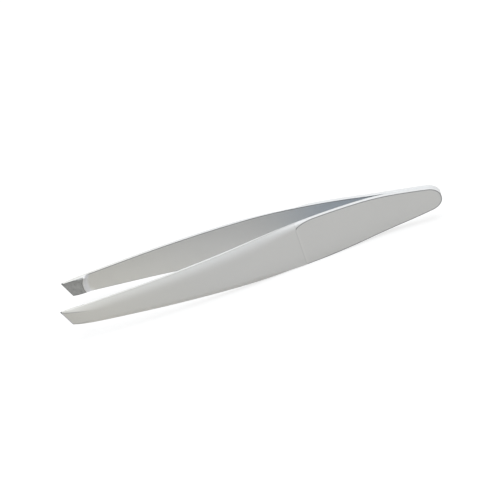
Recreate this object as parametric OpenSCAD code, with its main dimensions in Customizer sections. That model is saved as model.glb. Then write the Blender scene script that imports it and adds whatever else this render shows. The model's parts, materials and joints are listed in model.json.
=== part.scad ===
// Slant tweezers: two sprung steel arms, spot welded back to back at the tail.
// X runs along the arms (points at -X, tail at +X), Y across the gap between them,
// Z across an arm's width. The origin is under the middle of the tweezers, on the surface
// that their lower edges lie on.

/* [Arms] */
// Overall length, from the slanted points to the round tail end
length = 95; // [80:0.5:120]
// Width of an arm where it is widest
width = 11.3; // [9:0.1:14]
// Thickness of the steel strip
sheet = 1.15; // [0.9:0.05:1.6]
// Rise of the crowned outer face of a blade, over its edges
crown = 0.5; // [0.2:0.05:0.9]

/* [Outline of an arm] */
// Distance from the tail end to the widest stretch
widest_from_tail = 33.5; // [25:0.5:38]
// Length of the widest stretch, where both edges are parallel
widest_run = 2; // [1:0.5:6]
// Radius of the curved edges on both sides of the widest stretch
edge_radius = 170; // [140:5:260]
// Narrowing of each edge for every millimetre along the straight taper to the points
edge_taper = 0.069; // [0.05:0.001:0.075]
// Length of the round tail end
tail_round = 3; // [2.4:0.1:6]

/* [Bow of an arm, seen from above] */
// Length over which the two arms lie flat on each other and are welded
lap = 10.5; // [9:0.5:14]
// Radius of the bend where an arm leaves the lap
kick_radius = 50; // [40:1:90]
// Slope of the straight flank between the two bends, across over along
flank_slope = 0.176; // [0.14:0.001:0.22]
// Distance from the tail end to the start of the long bow
bow_from_tail = 40.6; // [36:0.1:48]
// Radius of the long bow
bow_radius = 184; // [150:1:220]
// Slope of the straight nose back towards the middle, across over along
nose_slope = 0.0155; // [0:0.0005:0.03]

/* [Tips] */
// Angle of the slanted end, away from square across the arm
slant_angle = 25; // [10:1:35]
// Height of a gripping pad over the inner face, at the point
pad_rise = 0.3; // [0.15:0.05:0.6]
// Length of a gripping pad along the upper edge
pad_length = 5.9; // [4:0.1:8]
// Height of a gripping pad
pad_height = 4.16; // [3.4:0.02:4.6]
// Length of the hollow that leads from the pad back down to the inner face
cove = 1.6; // [1:0.1:3]
// Thickness left at the slanted front edge
edge_thickness = 0.35; // [0.25:0.05:0.6]
// Length over which the outer face is ground down to the front edge
front_bevel = 3.5; // [0.8:0.1:4]
// Space left between the pads when the tweezers are squeezed shut
shut_gap = 0.05; // [0.02:0.01:0.2]

/* [Spring and welds] */
// Distance from the tail end to the middle of the stretch that flexes
flexure_from_tail = 25.5; // [18:0.1:31]
// Width of the slit that stands for the flexing stretch
slit = 0.3; // [0.25:0.05:0.6]
// Length of the flat outer face of the tail
flat_face = 35.4; // [30:0.2:42]
// Length over which the crown rises in front of the flat face
crown_rise = 5; // [2:0.5:10]
// Distance from the tail end to the rear weld
weld_from_tail = 3.8; // [3:0.1:4.5]
// Distance between the two welds
weld_pitch = 4.2; // [3.2:0.1:4.8]
// Diameter of a weld nugget
weld_d = 2.6; // [1.8:0.1:3]
// Thickness of a weld nugget, shared by both arms
weld_t = 1; // [0.6:0.05:1.1]

/* [Hidden] */

half = width / 2;
tip_x = -length / 2;
tail_x = length / 2;
shift_z = half;                         // the arms' mid-width, above the resting surface

// places along the outline of an arm
wide_x1 = tail_x - widest_from_tail;
wide_x0 = wide_x1 - widest_run;
taper_x = wide_x0 - edge_radius * edge_taper;

// places along the bow of an arm
lap_x = tail_x - lap;
kick_x = lap_x - kick_radius * flank_slope;
bow_x = tail_x - bow_from_tail;
nose_x = bow_x - bow_radius * (flank_slope + nose_slope);
kick_y = kick_radius * pow(flank_slope, 2) / 2;
bow_y = kick_y + (kick_x - bow_x) * flank_slope;
nose_y = bow_y + (bow_x - nose_x) * flank_slope - pow(bow_x - nose_x, 2) / 2 / bow_radius;

// Half the width of an arm at x, before its tail end is rounded
function edge_at(x) =
    x < taper_x ? half - pow(wide_x0 - taper_x, 2) / 2 / edge_radius - (taper_x - x) * edge_taper :
    x < wide_x0 ? half - pow(wide_x0 - x, 2) / 2 / edge_radius :
    x < wide_x1 ? half : half - pow(x - wide_x1, 2) / 2 / edge_radius;

// Distance of the inner face from the middle plane at x
function inner_at(x) =
    x > lap_x ? 0 :
    x > kick_x ? pow(lap_x - x, 2) / 2 / kick_radius :
    x > bow_x ? kick_y + (kick_x - x) * flank_slope :
    x > nose_x ? bow_y + (bow_x - x) * flank_slope - pow(bow_x - x, 2) / 2 / bow_radius :
    nose_y - (nose_x - x) * nose_slope;

function smooth(t) = let (s = max(0, min(1, t))) s * s * (3 - 2 * s);

// The flexure: an axis along Z, at mid thickness
flex_x = tail_x - flexure_from_tail;
flex_y = inner_at(flex_x) + sheet / 2;

// The angle that shuts a blade: it carries the pad's point onto the middle plane
pad_y = inner_at(tip_x) - pad_rise;
arm_reach = flex_x - tip_x;
shut_angle = atan2(pad_y - flex_y, arm_reach)
    + asin((flex_y - shut_gap / 2) / norm([arm_reach, pad_y - flex_y]));

// A pad is ground to lie parallel to the middle plane when the tweezers are shut
function pad_at(x) = pad_y - (x - tip_x) * tan(shut_angle);

// The slanted end: the upper corner leads, and the rows of the skin lean less and less
slant_fade = 12;
tip_half = edge_at(tip_x);
function lean(q, z) = (tip_half - z) * tan(slant_angle) * max(0, 1 - q / slant_fade);
function row_bottom(q) = -edge_at(tip_x + q + lean(q, -tip_half));

pad_half = pad_height / 2;
pad_bulge = 0.9;                        // how far the pad's back edge runs back at its upper corner
pad_wall = 0.3;                         // width of the pad's sloping side walls
function pad_back(z) = tip_x + pad_length - pad_bulge + pad_bulge * pow(max(0, z) / pad_half, 2);

// Inner face of a blade, with its raised pad
function blade_inner(x, z) =
    let (behind = smooth((x - pad_back(z)) / cove))
    let (beside = min(1, max(0, (abs(z) - pad_half) / pad_wall)))
    let (low = min(inner_at(x), pad_at(x)))
    low + (inner_at(x) - low) * max(behind, beside);

// Outer face of a blade: ground down at the front, crowned across, flat behind the crease
crease_x = tail_x - flat_face;
front_drop = inner_at(tip_x) + sheet - pad_y - edge_thickness;
crown_front = 4;                        // length over which the crown grows behind the slanted edge
crown_power = 2.6;
function blade_outer(q, x, w) =
    inner_at(x) + sheet - front_drop * exp(-q / front_bevel)
    + crown * smooth((crease_x - x) / crown_rise) * (1 - exp(-q / crown_front))
        * (1 - pow(abs(w), crown_power));

// One row of skin points around a blade, q behind the slanted front edge
INNER = 8;
OUTER = 14;
function at_row(q, z) = tip_x + q + lean(q, z);
function inner_heights(zb, zt) =
    let (pb = max(-pad_half, zb + 0.05), pt = min(pad_half, zt - 0.05))
    [zb, for (i = [0 : INNER - 2]) pb + (pt - pb) * i / (INNER - 2), zt];
function row(q) =
    let (zt = edge_at(tip_x + q), zb = row_bottom(q))
    concat(
        [for (z = inner_heights(zb, zt)) let (x = at_row(q, z)) [x, blade_inner(x, z), z]],
        [for (i = [0 : OUTER])
            let (w = cos(180 * i / OUTER), z = (zt + zb) / 2 + (zt - zb) / 2 * w, x = at_row(q, z))
            [x, blade_outer(q, x, w), z]]);

// The skin of a blade: rows from its slanted end (row 0) to the slit, then the middle of each end
ROWS = 46;
AROUND = INNER + OUTER + 2;
blade_run = flex_x - slit / 2 - tip_x;
rows = [for (i = [0 : ROWS]) row(blade_run * pow(i / ROWS, 1.6))];
function middle_of(points) = [for (c = [0 : 2]) let (v = [for (p = points) p[c]]) (min(v) + max(v)) / 2];
skin = [for (r = rows) each r, middle_of(rows[0]), middle_of(rows[ROWS])];
front_middle = (ROWS + 1) * AROUND;
function next(k) = (k + 1) % AROUND;
skin_faces = concat(
    [for (k = [0 : AROUND - 1]) [front_middle, next(k), k]],
    [for (i = [0 : ROWS - 1], k = [0 : AROUND - 1])
        let (a = i * AROUND + k, b = i * AROUND + next(k)) [a, b, a + AROUND]],
    [for (i = [0 : ROWS - 1], k = [0 : AROUND - 1])
        let (a = i * AROUND + k, b = i * AROUND + next(k)) [b, b + AROUND, a + AROUND]],
    [for (k = [0 : AROUND - 1]) [front_middle + 1, ROWS * AROUND + k, ROWS * AROUND + next(k)]]);

module blade_skin() {
    translate([0, 0, shift_z]) polyhedron(skin, skin_faces, convexity = 4);
}

// The outline of a tail in X and Z, from the slit to the round end
tail_front = flex_x + slit / 2;
round_x = tail_x - tail_round;
ROUND_POWER = 2.4;
function tail_edge(x) =
    edge_at(x) * (x < round_x ? 1 : pow(1 - pow(min(1, (x - round_x) / tail_round), ROUND_POWER),
                                        1 / ROUND_POWER));
SIDE_STEPS = 20;
ROUND_STEPS = 16;
edge_xs = concat(
    [for (i = [0 : SIDE_STEPS - 1]) tail_front + (round_x - tail_front) * i / SIDE_STEPS],
    [for (i = [0 : ROUND_STEPS]) round_x + tail_round * sin(90 * i / ROUND_STEPS)]);

module tail_outline() {
    polygon(concat(
        [for (x = edge_xs) [x, tail_edge(x)]],
        [for (i = [len(edge_xs) - 2 : -1 : 0]) [edge_xs[i], -tail_edge(edge_xs[i])]]));
}

// The strip of a tail in X and Y: flat on the middle plane over the lap, then bent away
BEND_STEPS = 16;
bend_xs = [for (i = [0 : BEND_STEPS]) lap_x + (tail_front - lap_x) * i / BEND_STEPS];
module tail_strip() {
    polygon(concat(
        [[tail_x + 1, 0]], [for (x = bend_xs) [x, inner_at(x)]],
        [for (i = [BEND_STEPS : -1 : 0]) [bend_xs[i], inner_at(bend_xs[i]) + sheet]],
        [[tail_x + 1, sheet]]));
}

// A weld nugget is a lens of melted steel, half in each arm, on the middle plane
module weld_nugget() {
    rotate([90, 0, 0]) rotate_extrude($fn = 48) polygon([
        [0, -weld_t / 2], [weld_d * 0.3, -weld_t / 2], [weld_d / 2, 0],
        [weld_d * 0.3, weld_t / 2], [0, weld_t / 2]]);
}

// The rear weld is number 0 and the front weld is number 1
module at_weld(i) {
    translate([tail_x - weld_from_tail - i * weld_pitch, 0, shift_z]) children();
}

module tail() {
    difference() {
        intersection() {
            linear_extrude(width) tail_strip();
            translate([0, 2 * half, shift_z]) rotate([90, 0, 0]) linear_extrude(3 * half) tail_outline();
        }
        for (i = [0 : 1]) at_weld(i) weld_nugget();
    }
}

module left_tail() { color("gainsboro") mirror([0, 1, 0]) tail(); }
module right_tail() { color("gainsboro") tail(); }
module left_blade() { color("whitesmoke") mirror([0, 1, 0]) blade_skin(); }
module right_blade() { color("whitesmoke") blade_skin(); }
module front_weld() { color("dimgray") at_weld(1) weld_nugget(); }
module rear_weld() { color("dimgray") at_weld(0) weld_nugget(); }

left_tail();
right_tail();
left_blade();
right_blade();
front_weld();
rear_weld();
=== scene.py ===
# %% [markdown]
# # Slant tweezers
# Two strips of spring steel are bowed, laid back to back and spot welded at the tail. Each is
# dipped in white enamel, and only the gripping pads at the points are ground bare. This script
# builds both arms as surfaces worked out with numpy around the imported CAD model, and paints them
# with node materials. The CAD model stays the measure of every length.

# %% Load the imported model
import json

import bmesh
import bpy
import numpy as np
from mathutils import Matrix, Vector


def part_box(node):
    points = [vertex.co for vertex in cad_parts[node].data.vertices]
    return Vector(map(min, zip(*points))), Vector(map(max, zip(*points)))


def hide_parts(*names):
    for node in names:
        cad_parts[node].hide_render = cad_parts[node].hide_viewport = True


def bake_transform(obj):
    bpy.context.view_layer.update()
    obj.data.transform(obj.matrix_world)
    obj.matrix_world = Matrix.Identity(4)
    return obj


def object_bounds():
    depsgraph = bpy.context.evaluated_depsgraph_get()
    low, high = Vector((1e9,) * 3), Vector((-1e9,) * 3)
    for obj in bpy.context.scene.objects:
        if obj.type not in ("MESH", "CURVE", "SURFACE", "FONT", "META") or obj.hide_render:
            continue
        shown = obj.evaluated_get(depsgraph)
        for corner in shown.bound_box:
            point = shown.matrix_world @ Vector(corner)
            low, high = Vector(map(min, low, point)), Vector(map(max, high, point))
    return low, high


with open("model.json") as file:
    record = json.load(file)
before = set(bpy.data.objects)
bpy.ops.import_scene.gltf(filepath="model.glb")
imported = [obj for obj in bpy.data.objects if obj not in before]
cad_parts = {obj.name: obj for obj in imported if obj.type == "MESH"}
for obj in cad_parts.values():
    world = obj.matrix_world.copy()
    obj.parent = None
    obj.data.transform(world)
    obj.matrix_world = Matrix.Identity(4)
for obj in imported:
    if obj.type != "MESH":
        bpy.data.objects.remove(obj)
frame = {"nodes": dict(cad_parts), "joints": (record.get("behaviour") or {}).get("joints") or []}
cad_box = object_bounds()

# %% [markdown]
# ## Camera
# The tweezers rest on the lower edges of both arms. A long lens from 0.6 m keeps the two arms
# nearly parallel. The camera looks down on them at a slant and is rolled, so that the points sink
# to the lower left and the tail rises to the upper right.

# %% Camera
MM = 0.001
HALF_WIDTH = (cad_box[1].z - cad_box[0].z) / 2 / MM
AIM = Vector((-0.2, 0, HALF_WIDTH)) * MM
CAMERA_DISTANCE = 0.6
AZIMUTH, ELEVATION, ROLL = np.radians([6.25, 28.13, 19.27])
LENS, SENSOR = 179.8, 36.0


def camera_axes(azimuth, elevation, roll):
    """Right and up axes of a camera that looks along +Y at azimuth 0, then is rolled about its view."""
    forward = Vector((-np.sin(azimuth) * np.cos(elevation), np.cos(azimuth) * np.cos(elevation),
                      -np.sin(elevation)))
    level = Vector((np.cos(azimuth), np.sin(azimuth), 0))
    right = level * float(np.cos(roll)) + forward.cross(level) * float(np.sin(roll))
    return right, right.cross(forward), forward


def make_camera():
    """The camera, placed back from its aim along the view."""
    right, up, forward = camera_axes(AZIMUTH, ELEVATION, ROLL)
    data = bpy.data.cameras.new("camera")
    data.lens, data.sensor_width = LENS, SENSOR
    data.clip_start, data.clip_end = 0.01, 10
    camera = bpy.data.objects.new("camera", data)
    turn = Matrix((right, up, -forward)).transposed().to_4x4()
    camera.matrix_world = Matrix.Translation(AIM - CAMERA_DISTANCE * forward) @ turn
    bpy.context.scene.collection.objects.link(camera)
    bpy.context.scene.camera = camera
    return camera


print("camera at", [round(c, 4) for c in make_camera().matrix_world.translation])

# %% [markdown]
# ## Outline and bow of an arm
# An arm is described in millimetres, with z from its mid-width. Its outline is a straight taper,
# a long arc to the widest stretch and another arc to the round tail. Seen from above, the arm
# leaves the welded lap on a small bend, runs straight and comes back on a long bow. Every curve
# here is the one that the CAD solids follow, so the skin lies on them.

# %% Sizes
TIP_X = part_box("left_blade")[0].x / MM
TAIL_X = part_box("left_tail")[1].x / MM
flex = frame["joints"][0]
SHUT_SLOPE = np.tan(np.radians(flex["range_deg"][1]))

SHEET = 1.15
CROWN = 0.5
WIDE_X1 = TAIL_X - 33.5
WIDE_X0 = WIDE_X1 - 2
EDGE_RADIUS = 170
EDGE_TAPER = 0.069
TAIL_ROUND, TAIL_POWER = 3, 2.4
LAP_X = TAIL_X - 10.5
KICK_RADIUS = 50
FLANK_SLOPE = 0.176
BOW_X = TAIL_X - 40.6
BOW_RADIUS = 184
NOSE_SLOPE = 0.0155
CREASE_X = TAIL_X - 35.4
print("arm from", TIP_X, "to", TAIL_X, "mm, half width", round(HALF_WIDTH, 2))


# %% Curves of the outline and the bow
def smooth(t):
    """Eased step: 0 below 0, 1 above 1, and three t squared less two t cubed between."""
    s = np.clip(t, 0, 1)
    return s * s * (3 - 2 * s)


def edge_at(x):
    """Half width at x: level at the widest stretch, a parabola of the edge radius on each side of
    it, and the straight taper towards the points."""
    taper_x = WIDE_X0 - EDGE_RADIUS * EDGE_TAPER
    ahead = np.clip(WIDE_X0 - x, 0, WIDE_X0 - taper_x)
    behind = np.clip(x - WIDE_X1, 0, None)
    straight = np.clip(taper_x - x, 0, None) * EDGE_TAPER
    return HALF_WIDTH - (ahead**2 + behind**2) / 2 / EDGE_RADIUS - straight


def inner_at(x):
    """Distance of the inner face from the middle plane at x: zero over the lap, a parabola of the
    kick radius, the straight flank, a parabola of the bow radius, and the straight nose."""
    kick_x = LAP_X - KICK_RADIUS * FLANK_SLOPE
    nose_x = BOW_X - BOW_RADIUS * (FLANK_SLOPE + NOSE_SLOPE)
    kick = np.clip(LAP_X - x, 0, LAP_X - kick_x)
    flank = np.clip(kick_x - x, 0, None) * FLANK_SLOPE
    bow = np.clip(BOW_X - x, 0, BOW_X - nose_x)
    nose = np.clip(nose_x - x, 0, None) * (NOSE_SLOPE + FLANK_SLOPE)
    return kick**2 / 2 / KICK_RADIUS + flank - bow**2 / 2 / BOW_RADIUS - nose


print("half width at the points", round(float(edge_at(TIP_X)), 2),
      "inner face there", round(float(inner_at(TIP_X)), 2))

# %% [markdown]
# ## Points, pads and crown
# The points are cut on a slant. A pad is ground on the inner face of each, so that both pads meet
# flat when the tweezers are squeezed shut, and a short hollow leads back from it to the enamel.
# The outer face is ground down to a thin front edge. Its upper edge rolls over in a broad soft
# band, which ends where the flat face of the tail begins.

# %% Points, pads and crown
SLANT = np.tan(np.radians(25))
SLANT_FADE = 12
PAD_RISE, PAD_LENGTH, PAD_HALF, PAD_CLIMB = 0.3, 5.9, 2.08, 0.02
PAD_BULGE, PAD_LOW_BULGE, PAD_WALL = 0.9, 0.4, 0.22
COVE, COVE_SHORT, COVE_LONG = 1.7, 0.75, 0.4
FRONT_EDGE, FRONT_BEVEL = 0.35, 3.5
TIP_HALF = edge_at(TIP_X)
PAD_Y = inner_at(TIP_X) - PAD_RISE
FRONT_DROP = PAD_RISE + SHEET - FRONT_EDGE


def lean(q, z):
    """How far a row of the skin leans back at height z: the slant, fading out behind the pad."""
    return (TIP_HALF - z) * SLANT * np.clip(1 - q / SLANT_FADE, 0, None)


def pad_back(z):
    """Back edge of a pad: a parabola that runs further back towards the upper corner, and a little
    at the lower one."""
    rise = np.where(z > 0, PAD_BULGE * (z / PAD_HALF) ** 2, PAD_LOW_BULGE * (z / PAD_HALF) ** 4)
    return TIP_X + PAD_LENGTH - PAD_BULGE + rise


def beyond_pad(x, z):
    """Height above the upper edge of a pad, which climbs a little, or below its lower edge, negative
    between them."""
    return np.maximum(z - TIP_HALF - (x - TIP_X) * PAD_CLIMB, -z - PAD_HALF)


def inner_face(x, z):
    """Distance of the inner face from the middle plane, with the pad: the lower of the bow and the
    pad's plane, eased back to the bow along the hollow and down the side walls. The hollow is
    short at the pad's upper edge and long at its lower one."""
    pad = PAD_Y - (x - TIP_X) * SHUT_SLOPE
    low = np.minimum(inner_at(x), pad)
    upper, lower = np.clip(z / PAD_HALF, 0, 1), np.clip(-z / PAD_HALF, 0, 1)
    cove = COVE * (1 - COVE_SHORT * upper**4 + COVE_LONG * lower**2)
    behind = smooth((x - pad_back(z)) / cove)
    beside = np.clip(beyond_pad(x, z) / PAD_WALL, 0, 1)
    return low + (inner_at(x) - low) * np.maximum(behind, beside)


POINT_ROLL, ROLL_WIDTH, ROLL_DEPTH, LOW_SHARE = 0.42, 2.8, 1.0, 0.55
ROLL_REACH, ROLL_GROWTH = 9, 1.9
ROLL_ONSET, LOW_ONSET = 4, 12
ROLL_RUN_IN, LOW_RUN_IN = 10, 12
CHAMFER_POWER, ROLL_POWER = 1.25, 2.4
CHAMFER_LENGTH, CHAMFER_FADE = 3, 12
CROWN_RISE, CROWN_FRONT = 18, 4
TAIL_ARRIS, TAIL_ARRIS_DEPTH = 0.14, 0.09
CORNER_RUN, CORNER_DROP = 5.0, 1.6


def roll_width(q, x):
    """Width of the rolled band under the upper edge: narrow at the point, growing over a few
    millimetres, drawn in towards the crease, a quarter of an ellipse round the corner of the
    tail's flat face, and then the tail's narrow arris."""
    blade = POINT_ROLL + (ROLL_WIDTH - POINT_ROLL) * (1 - np.exp(-((q / ROLL_REACH) ** ROLL_GROWTH)))
    corner = TAIL_ARRIS + CORNER_DROP
    blade = blade + (corner - blade) * smooth((x - CREASE_X + ROLL_RUN_IN) / ROLL_RUN_IN)
    u = np.clip((CREASE_X + CORNER_RUN - x) / CORNER_RUN, 0, 1)
    behind = TAIL_ARRIS + CORNER_DROP * (1 - np.sqrt(1 - u**2))
    return np.where(x < CREASE_X, blade, behind)


def low_roll_width(q, x):
    """Width of the lower roll: its share of the upper one along the blade, and the arris along the
    tail."""
    blade = LOW_SHARE * roll_width(q, np.minimum(x, CREASE_X - ROLL_RUN_IN))
    return blade + (TAIL_ARRIS - blade) * smooth((x - CREASE_X + LOW_RUN_IN) / LOW_RUN_IN)


def roll_depth(q, x, share, onset):
    """Depth of a roll at the edge: its share of the full depth, less what falls away exponentially
    over the onset behind the point. Only the arris is left along the tail."""
    full = share * ROLL_DEPTH * (1 - np.exp(-q / onset))
    return full + (TAIL_ARRIS_DEPTH - full) * smooth((x - CREASE_X) / CORNER_RUN)


def roll_power(q):
    """Power of a roll's profile: nearly the flat of a chamfer at the point, where it starts in a
    crisp line, easing to the soft roll of the blade."""
    return CHAMFER_POWER + (ROLL_POWER - CHAMFER_POWER) * smooth((q - CHAMFER_LENGTH) / CHAMFER_FADE)


def main_thickness(q, x):
    """Thickness in the middle of the outer face: the sheet, the crown that grows ahead of the
    crease, and the grind that falls away to the front edge."""
    crown = CROWN * smooth((CREASE_X - x) / CROWN_RISE) * (1 - np.exp(-q / CROWN_FRONT))
    return SHEET + crown - FRONT_DROP * np.exp(-q / FRONT_BEVEL)


print("pad plane at the point", round(float(PAD_Y), 2), "mm from the middle")

# %% [markdown]
# ## Skin of an arm
# The skin is a closed grid: rows from the slanted points to the round tail, and columns round
# the section. Rows lie close together where the shape changes fast, at the points, the crease and
# the round end. A column keeps its distance from the nearest edge, so that the arris, the rolled
# band and the fine lines follow the outline even round the tail.


# %% Rows along an arm
CREASE_HALF = 0.6
END_TURN = 6


def row_positions():
    """Distances behind the point for every row: powers of a ramp near the points, even steps along
    the blade and tail, close steps across the crease, and the sine of a ramp round the end."""
    length = TAIL_X - TIP_X
    crease = CREASE_X - TIP_X
    front = SLANT_FADE * np.linspace(0, 1, 110) ** 1.25
    blade = np.linspace(SLANT_FADE, crease - CREASE_HALF, 96)
    across = np.linspace(crease - CREASE_HALF, crease + CREASE_HALF, 31)
    corner = np.linspace(crease + CREASE_HALF, crease + CORNER_RUN, 40)
    tail = np.linspace(crease + CORNER_RUN, length - TAIL_ROUND, 44)
    end = length - TAIL_ROUND + TAIL_ROUND * np.sin(np.linspace(0, np.pi / 2, 44))
    parts = [front, blade[1:], across[1:], corner[1:], tail[1:], end[1:]]
    return np.concatenate(parts)


def outline(q):
    """Upper and lower outline points of each row, and the directions that lead inwards from them:
    along the row itself, and square to the outline round the tail end."""
    round_x = TAIL_X - TAIL_ROUND
    x_top = TIP_X + q
    t = np.clip((x_top - round_x) / TAIL_ROUND, 0, 1)
    narrowing = (1 - t**TAIL_POWER) ** (1 / TAIL_POWER)
    x_low = x_top + lean(q, -TIP_HALF)
    z_top, z_low = edge_at(x_top) * narrowing, -edge_at(x_low) * narrowing
    top, low = np.stack([x_top, z_top], -1), np.stack([x_low, z_low], -1)
    along = low - top
    length = np.linalg.norm(along, axis=-1, keepdims=True)
    along = np.where(length > 1e-6, along / np.maximum(length, 1e-6), 0)
    tangent = np.gradient(top, axis=0)
    tangent[-1] = (0, -1)
    tangent /= np.linalg.norm(tangent, axis=-1, keepdims=True)
    square = np.stack([tangent[:, 1], -tangent[:, 0]], -1)
    turn = smooth((x_top - (round_x - END_TURN)) / END_TURN)[:, None]
    into_top = along + (square - along) * turn
    into_low = -along + (square * (1, -1) + along) * turn
    into_top /= np.linalg.norm(into_top, axis=-1, keepdims=True)
    into_low /= np.linalg.norm(into_low, axis=-1, keepdims=True)
    return top, low, into_top, into_low


ROW_Q = row_positions()
print(len(ROW_Q), "rows")

# %% Columns round a section
LINE_INSET = 0.13
FACE_INSET = 0.4
ARRIS = 0.08
OUTER_ARRIS = 0.04
ROLL_ROOM = 0.9
FALL_LIMIT = 0.85
FACE_STEPS = 40
ROLL_STEPS = 18
EDGE_STEPS = 4


def strip_between(a, b, steps):
    """Points from a to b for every row, without either end."""
    f = np.linspace(0, 1, steps + 1)[1:-1]
    return a[:, None, :] + (b - a)[:, None, :] * f[None, :, None]


def flat_points(q):
    """The x and z of every skin point, row by row, and the run of columns each belongs to. Going
    round: inner face upwards, upper rim, outer face downwards, lower rim."""
    top, low, into_top, into_low = outline(q)
    inset = np.array([ARRIS, LINE_INSET, FACE_INSET])
    upper = top[:, None] + into_top[:, None] * inset[None, :, None]
    lower = low[:, None] + into_low[:, None] * inset[None, :, None]
    room = np.linalg.norm(top - low, axis=-1) / 2
    inner = np.concatenate(
        [lower, strip_between(lower[:, -1], upper[:, -1], FACE_STEPS), upper[:, ::-1]], 1)
    rim = np.repeat(top[:, None], EDGE_STEPS, 1)
    under = np.repeat(low[:, None], EDGE_STEPS, 1)
    width = np.minimum(roll_width(q, TIP_X + q), ROLL_ROOM * np.maximum(room, TAIL_ARRIS))
    v = np.linspace(0, 1, ROLL_STEPS + 1)[1:]
    rolled = top[:, None] + into_top[:, None] * (width[:, None] * v)[:, :, None]
    low_width = np.minimum(low_roll_width(q, TIP_X + q), width)
    low_rolled = low[:, None] + into_low[:, None] * (low_width[:, None] * v)[:, :, None]
    outer = np.concatenate(
        [rolled, strip_between(rolled[:, -1], low_rolled[:, -1], FACE_STEPS), low_rolled[:, ::-1]], 1)
    return inner, rim, outer, under


def skin_points(q):
    """All skin points as an array of rows, columns and x, y, z, for the arm on the +Y side."""
    inner, rim, outer, under = flat_points(q)
    inner_y = inner_face(inner[..., 0], inner[..., 1])
    depth = roll_depth(q, TIP_X + q, 1, ROLL_ONSET)[:, None]
    low_depth = roll_depth(q, TIP_X + q, LOW_SHARE, LOW_ONSET)[:, None]
    x = outer[..., 0]
    thick = main_thickness(q, TIP_X + q)[:, None]
    v = np.linspace(0, 1, ROLL_STEPS + 1)[1:]
    fall = np.zeros_like(x)
    profile = (1 - v) ** roll_power(q)[:, None]
    fall[:, :ROLL_STEPS] = depth * profile
    fall[:, -ROLL_STEPS:] = low_depth * profile[:, ::-1]
    fall = np.minimum(fall, FALL_LIMIT * thick)
    outer_y = inner_at(x) + thick - fall
    f = np.linspace(0, 1, EDGE_STEPS)
    ends = []
    for near, far in ((inner_y[:, -1], outer_y[:, 0]), (inner_y[:, 0], outer_y[:, -1])):
        span = far - near
        start = near + np.minimum(ARRIS, 0.25 * span)
        stop = far - np.minimum(OUTER_ARRIS, 0.2 * span)
        ends.append(start[:, None] + (stop - start)[:, None] * f[None])
    faces = [(inner, inner_y), (rim, ends[0]), (outer, outer_y), (under, ends[1][:, ::-1])]
    return np.concatenate([np.stack([p[..., 0], y, p[..., 1]], -1) for p, y in faces], 1)


ROW_POINTS = skin_points(ROW_Q)
print("skin grid", ROW_POINTS.shape)

# %% [markdown]
# ## Marks on the skin
# A fine dark grey line of painted shade is drawn along the rounded corners. Such a line runs round
# the flat face of the tail and along the edges of the inner faces. A line thinner than the grid
# can't be stored as a mask on the corners, but its distance can: that changes evenly across a face,
# and the material makes a sharp line of it. Two soft marks tell how near the points a place is, for
# a slightly warmer enamel there, and how deep between the arms, for painted cool shade there.


# %% Distances to the lines
FAR = 9.0
WARM_RUN = 45
THROAT_X, THROAT_RUN = 0, 24
LINE_BEHIND_PAD, LINE_FADE = 0.9, 0.5
LOWER_LINE, UPPER_LINE = 0.3, 2.2
CHAMFER_LINE, CHAMFER_LINE_FADE = 0.5, 4
CREASE_FADE = 0.3
PAD_FRONT = 0.06


def distance_to_line(points, line, reach=14):
    """Distance of every grid point from a line with one point per row: the least distance to the
    pieces of the line within reach rows, each the length left after the nearest point on it."""
    rows = np.arange(len(line))
    best = np.full(points.shape[:2], np.inf)
    for k in range(-reach, reach):
        a = line[np.clip(rows + k, 0, len(line) - 1)][:, None]
        b = line[np.clip(rows + k + 1, 0, len(line) - 1)][:, None]
        step = b - a
        share = ((points - a) * step).sum(-1) / np.maximum((step**2).sum(-1), 1e-12)
        nearest = a + np.clip(share, 0, 1)[..., None] * step
        best = np.minimum(best, np.linalg.norm(points - nearest, axis=-1))
    return best


def skin_marks(q):
    """Eight values for every skin point: distance to the nearest fine line and its strength, signed
    distance behind the crease, signed distance inside the pad, distance behind the front, distance
    from the sharp corner at the point, how near the points it is, and how deep between the arms."""
    runs = flat_points(q)
    inner, rim, outer, under = runs
    blank = [np.zeros(run.shape[:2]) for run in runs]
    x = (TIP_X + q)[:, None]
    line_in = np.minimum(distance_to_line(inner, inner[:, 1]), distance_to_line(inner, inner[:, -2]))
    upper, lower = outer[:, ROLL_STEPS - 1], outer[:, -ROLL_STEPS]
    line_out = np.minimum(distance_to_line(outer, upper), distance_to_line(outer, lower))
    chamfer = CHAMFER_LINE * (1 - smooth((q[:, None] - CHAMFER_LENGTH) / CHAMFER_LINE_FADE))
    strength_out = np.maximum(smooth((x - CREASE_X) / CREASE_FADE), chamfer) + blank[2]
    half = np.where(inner[..., 1] > 0, UPPER_LINE, LOWER_LINE)
    behind_pad = inner[..., 0] - pad_back(inner[..., 1])
    strength_in = half * smooth((behind_pad - LINE_BEHIND_PAD) / LINE_FADE)
    corner_z = upper[np.argmin(np.abs(x[:, 0] - CREASE_X)), 1]
    above = np.clip(outer[..., 1] - corner_z, 0, None)
    behind = outer[..., 0] - CREASE_X
    crease = np.where(behind < 0, -1, 1) * np.hypot(behind, above)
    pad = np.minimum(-behind_pad, PAD_WALL / 3 - beyond_pad(inner[..., 0], inner[..., 1]))
    pad = np.minimum(pad, q[:, None] + PAD_FRONT)
    marks = [
        [line_in, blank[1] + FAR, line_out, blank[3] + FAR],
        [strength_in, blank[1], strength_out, blank[3]],
        [blank[0] + FAR, blank[1] + FAR, crease, blank[3] + FAR],
        [pad, blank[1] - FAR, blank[2] - FAR, blank[3] - FAR],
        [run_blank + q[:, None] for run_blank in blank],
        [np.hypot(run[..., 0] - TIP_X, run[..., 1] - TIP_HALF) for run in runs],
        [1 - smooth((run[..., 0] - TIP_X) / WARM_RUN) for run in runs],
        [smooth((inner[..., 0] - THROAT_X) / THROAT_RUN), *blank[1:]],
    ]
    return [np.concatenate(runs, 1) for runs in marks]


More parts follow.
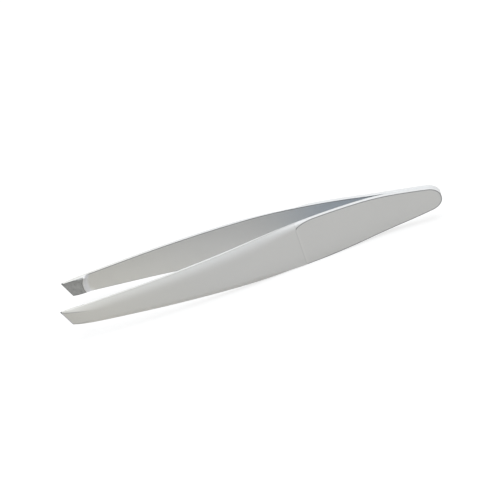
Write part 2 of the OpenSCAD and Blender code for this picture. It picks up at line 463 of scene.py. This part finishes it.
MARK_NAMES = ["line", "line_strength", "crease", "pad", "nose", "point", "warm", "throat_shade"]
ROW_MARKS = skin_marks(ROW_Q)
print("marks", MARK_NAMES)

# %% [markdown]
# ## Meshes of the arms
# Both arms come from the same grid. The left arm is its mirror image, with its faces wound the
# other way round, so that they still point outwards. Each grid closes at the front with one face,
# and its last row folds onto itself at the tail, where its doubles are merged.


# %% Build an arm
def grid_faces(rows, columns):
    """Four corners for each cell of a closed grid, as one array of point numbers."""
    i, j = np.meshgrid(np.arange(rows - 1), np.arange(columns), indexing="ij")
    next_j = (j + 1) % columns
    corners = [i * columns + j, i * columns + next_j, (i + 1) * columns + next_j, (i + 1) * columns + j]
    return np.stack(corners, -1).reshape(-1, 4)


def make_arm(name, side):
    """Mesh object of an arm: the grid, moved up from mid-width, for side +1 or its mirror -1."""
    rows, columns = ROW_POINTS.shape[:2]
    points = ROW_POINTS.reshape(-1, 3) * (1, side, 1) + (0, 0, HALF_WIDTH)
    faces = grid_faces(rows, columns)
    front = np.arange(columns)[::-1]
    if side < 0:
        faces, front = faces[:, ::-1], front[::-1]
    mesh = bpy.data.meshes.new(name)
    mesh.from_pydata(points * MM, [], faces.tolist() + [front.tolist()])
    for mark, values in zip(MARK_NAMES, ROW_MARKS):
        layer = mesh.attributes.new(mark, "FLOAT", "POINT")
        layer.data.foreach_set("value", values.astype(np.float32).ravel())
    body = bmesh.new()
    body.from_mesh(mesh)
    bmesh.ops.remove_doubles(body, verts=body.verts, dist=2e-7)
    long_faces = [f for f in body.faces if len(f.verts) > 4]
    bmesh.ops.triangulate(body, faces=long_faces)
    bmesh.ops.recalc_face_normals(body, faces=body.faces)
    open_edges = sum(not e.is_manifold for e in body.edges)
    volume = body.calc_volume() * 1e9
    body.to_mesh(mesh)
    body.free()
    mesh.shade_smooth()
    mesh.set_sharp_from_angle(angle=np.radians(48))
    arm = bpy.data.objects.new(name, mesh)
    bpy.context.scene.collection.objects.link(arm)
    print(name, len(mesh.vertices), "points", open_edges, "open edges", round(volume, 1), "mm3")
    return arm


arms = {"left": make_arm("left_arm", -1), "right": make_arm("right_arm", 1)}

# %% [markdown]
# ## Joints
# The real arm is one leaf spring that bends over a short stretch ahead of the lap. The CAD model
# puts a sprung hinge there. Each skin stays whole and stands in for the CAD tail and blade of its
# side, which are hidden.

# %% Hide the CAD tail and blade under each skin
for side_name, arm in arms.items():
    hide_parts(side_name + "_tail", side_name + "_blade")
    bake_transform(arm)

# %% [markdown]
# ## Materials
# Two finishes: satin white enamel over steel, and steel ground bare. Both have a slight unevenness
# at two scales, so that is a node group. The fine lines, the crease, the front edge and the bare
# point are all a soft-edged band at some distance from a mark, so that is another.


# %% Node helpers
def add_node(tree, kind, **values):
    """A new node in the tree, with its settings."""
    node = tree.nodes.new(kind)
    for key, value in values.items():
        setattr(node, key, value)
    return node


def new_group(name, inputs, outputs):
    """An empty node group with float sockets, and its two end nodes."""
    tree = bpy.data.node_groups.new(name, "ShaderNodeTree")
    for socket, value in inputs.items():
        made = tree.interface.new_socket(socket, in_out="INPUT", socket_type="NodeSocketFloat")
        made.default_value = value
    for socket in outputs:
        tree.interface.new_socket(socket, in_out="OUTPUT", socket_type="NodeSocketFloat")
    return tree, add_node(tree, "NodeGroupInput"), add_node(tree, "NodeGroupOutput")


def math_node(tree, operation, a, b=None, clamp=False):
    """A Math node; a and b are sockets or numbers. Returns its output."""
    node = add_node(tree, "ShaderNodeMath", operation=operation, use_clamp=clamp)
    for socket, value in zip(node.inputs, (a, b)):
        if isinstance(value, bpy.types.NodeSocket):
            tree.links.new(value, socket)
        elif value is not None:
            socket.default_value = value
    return node.outputs[0]


# %% Group: uneven
def make_uneven():
    """Broad and fine noise, added and centred on zero, times the amount; and the fine noise alone
    as a height."""
    sockets = {"Broad": 120, "Fine": 2500, "Amount": 0.03}
    tree, start, end = new_group("uneven", sockets, ["Shade", "Height"])
    place = add_node(tree, "ShaderNodeTexCoord").outputs["Object"]
    noises = []
    for scale, detail in (("Broad", 2), ("Fine", 3)):
        noise = add_node(tree, "ShaderNodeTexNoise")
        noise.inputs["Detail"].default_value = detail
        tree.links.new(place, noise.inputs["Vector"])
        tree.links.new(start.outputs[scale], noise.inputs["Scale"])
        noises.append(noise.outputs["Fac"])
    both = math_node(tree, "ADD", noises[0], noises[1])
    centred = math_node(tree, "SUBTRACT", both, 1.0)
    scaled = math_node(tree, "MULTIPLY", centred, start.outputs["Amount"])
    tree.links.new(math_node(tree, "ADD", scaled, 1.0), end.inputs["Shade"])
    tree.links.new(noises[1], end.inputs["Height"])
    return tree


UNEVEN = make_uneven()


# %% Group: band
def make_band():
    """One at a distance of zero, easing to nothing between the inner and the outer distance, times
    the strength."""
    sockets = {"Distance": 0, "Inner": 0.05, "Outer": 0.15, "Strength": 1}
    tree, start, end = new_group("band", sockets, ["Mask"])
    ramp = add_node(tree, "ShaderNodeMapRange", interpolation_type="SMOOTHSTEP")
    ramp.inputs["To Min"].default_value = 1
    ramp.inputs["To Max"].default_value = 0
    tree.links.new(start.outputs["Distance"], ramp.inputs["Value"])
    tree.links.new(start.outputs["Inner"], ramp.inputs["From Min"])
    tree.links.new(start.outputs["Outer"], ramp.inputs["From Max"])
    mask = math_node(tree, "MULTIPLY", ramp.outputs["Result"], start.outputs["Strength"], clamp=True)
    tree.links.new(mask, end.inputs["Mask"])
    return tree


BAND = make_band()
print("groups", UNEVEN.name, BAND.name)


# %% Helpers that place groups in a material
def new_material(name):
    """A material with only a Principled shader and its output."""
    material = bpy.data.materials.new(name)
    material.use_nodes = True
    tree = material.node_tree
    tree.nodes.clear()
    shader = add_node(tree, "ShaderNodeBsdfPrincipled")
    out = add_node(tree, "ShaderNodeOutputMaterial")
    tree.links.new(shader.outputs["BSDF"], out.inputs["Surface"])
    return material, tree, shader


def place_group(tree, group, **values):
    """A group node with its sockets set to numbers or linked to other sockets."""
    node = add_node(tree, "ShaderNodeGroup", node_tree=group)
    for key, value in values.items():
        if isinstance(value, bpy.types.NodeSocket):
            tree.links.new(value, node.inputs[key])
        else:
            node.inputs[key].default_value = value
    return node


def mark_value(tree, name):
    """The value of one of the skin's marks."""
    return add_node(tree, "ShaderNodeAttribute", attribute_name=name).outputs["Fac"]


def mix_colour(tree, factor, a, b, blend="MIX"):
    """Colour a turned towards b by the factor; each is a socket or a colour. A Mix node has its
    factor first and its colours seventh and eighth, and gives the colour third."""
    node = add_node(tree, "ShaderNodeMix", data_type="RGBA", blend_type=blend)
    for socket, value in zip((node.inputs[0], node.inputs[6], node.inputs[7]), (factor, a, b)):
        if isinstance(value, bpy.types.NodeSocket):
            tree.links.new(value, socket)
        elif isinstance(value, tuple):
            socket.default_value = (*value, 1)
        else:
            socket.default_value = value
    return node.outputs[2]


# %% Enamel over steel
ENAMEL = (0.8, 0.8, 0.795)
WARM_ENAMEL = (0.82, 0.81, 0.765)
# Painted shade: a cool, darker tone deep between the arms, where less light reaches.
THROAT_SHADE = (0.68, 0.725, 0.77)
# Painted shade: dark grey for the fine lines along the rounded corners and for the crease line.
PAINTED_EDGE_SHADE = (0.36, 0.36, 0.37)
# Painted shade: a darker lilac tone along the front edge of the points.
FRONT_EDGE_SHADE = (0.7, 0.69, 0.73)
GROUND_STEEL = (0.3, 0.3, 0.29)
PAD_EDGE = (0.19, 0.19, 0.185)
# Painted highlight: a lighter, bluish tone in the hollow behind the pad.
HOLLOW_HIGHLIGHT = (0.88, 0.88, 0.92)
WORN_POINT = (0.13, 0.13, 0.13)
# Painted highlight: a lighter band just behind the crease.
RIDGE_HIGHLIGHT = (0.86, 0.86, 0.85)
RIDGE_BEHIND, HOLLOW_MIDDLE = 0.4, 0.7


def enamel_colour(tree):
    """Enamel, a little warmer towards the points, with painted cool shade deep between the arms,
    painted highlights in the hollow behind the pad and just behind the crease, painted shade along
    the fine lines, the crease and the front edge, and worn through at the sharp corner of the point."""
    # Painted shade along the rounded corners, as fine dark lines.
    lines = place_group(tree, BAND, Distance=mark_value(tree, "line"), Inner=0.06, Outer=0.17,
                        Strength=mark_value(tree, "line_strength"))
    crease = mark_value(tree, "crease")
    # Painted shade in a thin line along the crease.
    crease_shade = place_group(tree, BAND, Distance=math_node(tree, "ABSOLUTE", crease), Inner=0.04, Outer=0.16,
                         Strength=0.16)
    # Painted highlight in a band just behind the crease.
    from_ridge = math_node(tree, "ABSOLUTE", math_node(tree, "SUBTRACT", crease, RIDGE_BEHIND))
    ridge_highlight = place_group(tree, BAND, Distance=from_ridge, Inner=0.1, Outer=0.3, Strength=0.35)
    # Painted shade along the front edge.
    front = place_group(tree, BAND, Distance=mark_value(tree, "nose"), Inner=0.3, Outer=0.5, Strength=1.0)
    corner = place_group(tree, BAND, Distance=mark_value(tree, "point"), Inner=0.25, Outer=0.5, Strength=1.0)
    # Painted highlight in the hollow behind the pad.
    from_hollow = math_node(tree, "ABSOLUTE", math_node(tree, "ADD", mark_value(tree, "pad"), HOLLOW_MIDDLE))
    hollow = place_group(tree, BAND, Distance=from_hollow, Inner=0.3, Outer=0.9, Strength=0.8)
    colour = mix_colour(tree, mark_value(tree, "warm"), ENAMEL, WARM_ENAMEL)
    # Painted cool shade deep between the arms.
    colour = mix_colour(tree, mark_value(tree, "throat_shade"), colour, THROAT_SHADE)
    colour = mix_colour(tree, hollow.outputs["Mask"], colour, HOLLOW_HIGHLIGHT)
    colour = mix_colour(tree, ridge_highlight.outputs["Mask"], colour, RIDGE_HIGHLIGHT)
    colour = mix_colour(tree, crease_shade.outputs["Mask"], colour, PAINTED_EDGE_SHADE)
    colour = mix_colour(tree, front.outputs["Mask"], colour, FRONT_EDGE_SHADE)
    colour = mix_colour(tree, lines.outputs["Mask"], colour, PAINTED_EDGE_SHADE)
    return mix_colour(tree, corner.outputs["Mask"], colour, WORN_POINT)


def make_enamel():
    """Satin white enamel, with bare ground steel where the pad's mark is inside the pad."""
    material, tree, shader = new_material("enamel_over_steel")
    pad = place_group(tree, BAND, Distance=math_node(tree, "MULTIPLY", mark_value(tree, "pad"), -1.0),
                      Inner=-0.03, Outer=0.03, Strength=1.0).outputs["Mask"]
    smooth_shade = place_group(tree, UNEVEN, Broad=150, Fine=1500, Amount=0.02)
    grain = place_group(tree, UNEVEN, Broad=900, Fine=5000, Amount=0.7)
    white = mix_colour(tree, 1.0, enamel_colour(tree), smooth_shade.outputs["Shade"], "MULTIPLY")
    outline = place_group(tree, BAND, Distance=mark_value(tree, "pad"), Inner=0.1, Outer=0.36, Strength=0.8)
    corner = place_group(tree, BAND, Distance=mark_value(tree, "point"), Inner=0.1, Outer=0.5, Strength=0.8)
    steel = mix_colour(tree, outline.outputs["Mask"], GROUND_STEEL, PAD_EDGE)
    steel = mix_colour(tree, corner.outputs["Mask"], steel, WORN_POINT)
    steel = mix_colour(tree, 1.0, steel, grain.outputs["Shade"], "MULTIPLY")
    tree.links.new(mix_colour(tree, pad, white, steel), shader.inputs["Base Color"])
    tree.links.new(math_node(tree, "MULTIPLY", pad, 0.75), shader.inputs["Metallic"])
    tree.links.new(math_node(tree, "ADD", 0.34, math_node(tree, "MULTIPLY", pad, 0.1)),
                   shader.inputs["Roughness"])
    enamel_only = math_node(tree, "SUBTRACT", 1.0, pad)
    tree.links.new(math_node(tree, "MULTIPLY", enamel_only, 0.25), shader.inputs["Coat Weight"])
    shader.inputs["Coat Roughness"].default_value = 0.12
    bump = add_node(tree, "ShaderNodeBump")
    bump.inputs["Strength"].default_value = 0.12
    bump.inputs["Distance"].default_value = 0.00004
    tree.links.new(smooth_shade.outputs["Height"], bump.inputs["Height"])
    tree.links.new(bump.outputs["Normal"], shader.inputs["Normal"])
    return material


ENAMEL_OVER_STEEL = make_enamel()
for arm in arms.values():
    arm.data.materials.append(ENAMEL_OVER_STEEL)


# %% Bare weld steel
WELD_STEEL = (0.42, 0.42, 0.41)


def make_bare_steel():
    """Steel melted by the spot welder, with a coarser unevenness than the ground pads."""
    material, tree, shader = new_material("bare_steel")
    rough = place_group(tree, UNEVEN, Broad=600, Fine=3000, Amount=0.35)
    colour = mix_colour(tree, 1.0, WELD_STEEL, rough.outputs["Shade"], "MULTIPLY")
    tree.links.new(colour, shader.inputs["Base Color"])
    tree.links.new(math_node(tree, "MULTIPLY", rough.outputs["Shade"], 0.5), shader.inputs["Roughness"])
    shader.inputs["Metallic"].default_value = 1.0
    return material


BARE_STEEL = make_bare_steel()
for weld in ("front_weld", "rear_weld"):
    frame["nodes"][weld].data.materials[0] = BARE_STEEL
print("finishes", ENAMEL_OVER_STEEL.name, BARE_STEEL.name)

# %% [markdown]
# ## Floor and light
# A white table under a white room, with one large soft lamp above. The upward faces get nearly
# twice as much light as the upright ones, which shapes the rolled edges. The camera and the gloss
# see the room as pure white, and the table too, except for the faint shadow of the tweezers.

# %% Table, room and lamp
TABLE_SIZE = 3.0
ROOM_LEVEL = 0.3
TABLE_COLOUR = (0.63, 0.61, 0.57)
SEEN_COLOUR, SEEN_GLOW = (0.33, 0.33, 0.33), 0.74
GLOW_NEAR, GLOW_FAR = 0.15, 0.6
LAMP_SIZE, LAMP_POWER = 1.2, 9.6
LAMP_PLACE = (0.15, -0.02, 0.9)
LAMP_COLOUR = (0.95, 0.975, 1.0)
ROOM_COLOUR = (0.98, 0.99, 1, 1)


def seen_directly(tree):
    """One where a ray comes from the camera, a mirror-like surface or glass."""
    path = add_node(tree, "ShaderNodeLightPath")
    seen = math_node(tree, "ADD", path.outputs["Is Camera Ray"], path.outputs["Is Glossy Ray"])
    return math_node(tree, "ADD", seen, path.outputs["Is Transmission Ray"], clamp=True)


def table_glow(tree):
    """Glow of the table by distance from its middle: low enough around the tweezers to keep their
    shadow, and full further out, where less of the lamp's light falls."""
    place = add_node(tree, "ShaderNodeTexCoord").outputs["Object"]
    distance = add_node(tree, "ShaderNodeVectorMath", operation="LENGTH")
    tree.links.new(place, distance.inputs[0])
    ramp = add_node(tree, "ShaderNodeMapRange", interpolation_type="SMOOTHSTEP")
    limits = {"From Min": GLOW_NEAR, "From Max": GLOW_FAR, "To Min": SEEN_GLOW, "To Max": 1.0}
    for socket, value in limits.items():
        ramp.inputs[socket].default_value = value
    tree.links.new(distance.outputs["Value"], ramp.inputs["Value"])
    return ramp.outputs["Result"]


def make_table():
    """A white table whose glow shows only to the camera and in the gloss."""
    mesh = bpy.data.meshes.new("table")
    reach = TABLE_SIZE / 2
    mesh.from_pydata([(-reach, -reach, 0), (reach, -reach, 0), (reach, reach, 0), (-reach, reach, 0)], [],
                     [(0, 1, 2, 3)])
    table = bpy.data.objects.new("table", mesh)
    bpy.context.scene.collection.objects.link(table)
    material, tree, shader = new_material("table_white")
    seen = seen_directly(tree)
    colour = mix_colour(tree, seen, TABLE_COLOUR, SEEN_COLOUR)
    tree.links.new(colour, shader.inputs["Base Color"])
    shader.inputs["Emission Color"].default_value = (1, 1, 1, 1)
    tree.links.new(math_node(tree, "MULTIPLY", seen, table_glow(tree)), shader.inputs["Emission Strength"])
    shader.inputs["Roughness"].default_value = 0.9
    shader.inputs["Specular IOR Level"].default_value = 0.0
    mesh.materials.append(material)


def make_room():
    """A room that is white to the camera and in the gloss, and lights the rest at its plain level."""
    world = bpy.data.worlds.new("room")
    world.use_nodes = True
    tree = world.node_tree
    back = tree.nodes["Background"]
    level = math_node(tree, "MULTIPLY", seen_directly(tree), 1.0 - ROOM_LEVEL)
    tree.links.new(math_node(tree, "ADD", level, ROOM_LEVEL), back.inputs["Strength"])
    back.inputs["Color"].default_value = ROOM_COLOUR
    bpy.context.scene.world = world


def make_lamp():
    """One large soft lamp above the tweezers, out of the camera's sight."""
    data = bpy.data.lights.new("top_lamp", "AREA")
    data.shape, data.size, data.energy = "SQUARE", LAMP_SIZE, LAMP_POWER
    data.color = LAMP_COLOUR
    lamp = bpy.data.objects.new("top_lamp", data)
    lamp.location = LAMP_PLACE
    lamp.visible_camera = False
    bpy.context.scene.collection.objects.link(lamp)


make_table()
make_room()
make_lamp()
bpy.context.scene.view_settings.view_transform = "Standard"
print("table", TABLE_SIZE, "m, lamp", LAMP_POWER, "W")
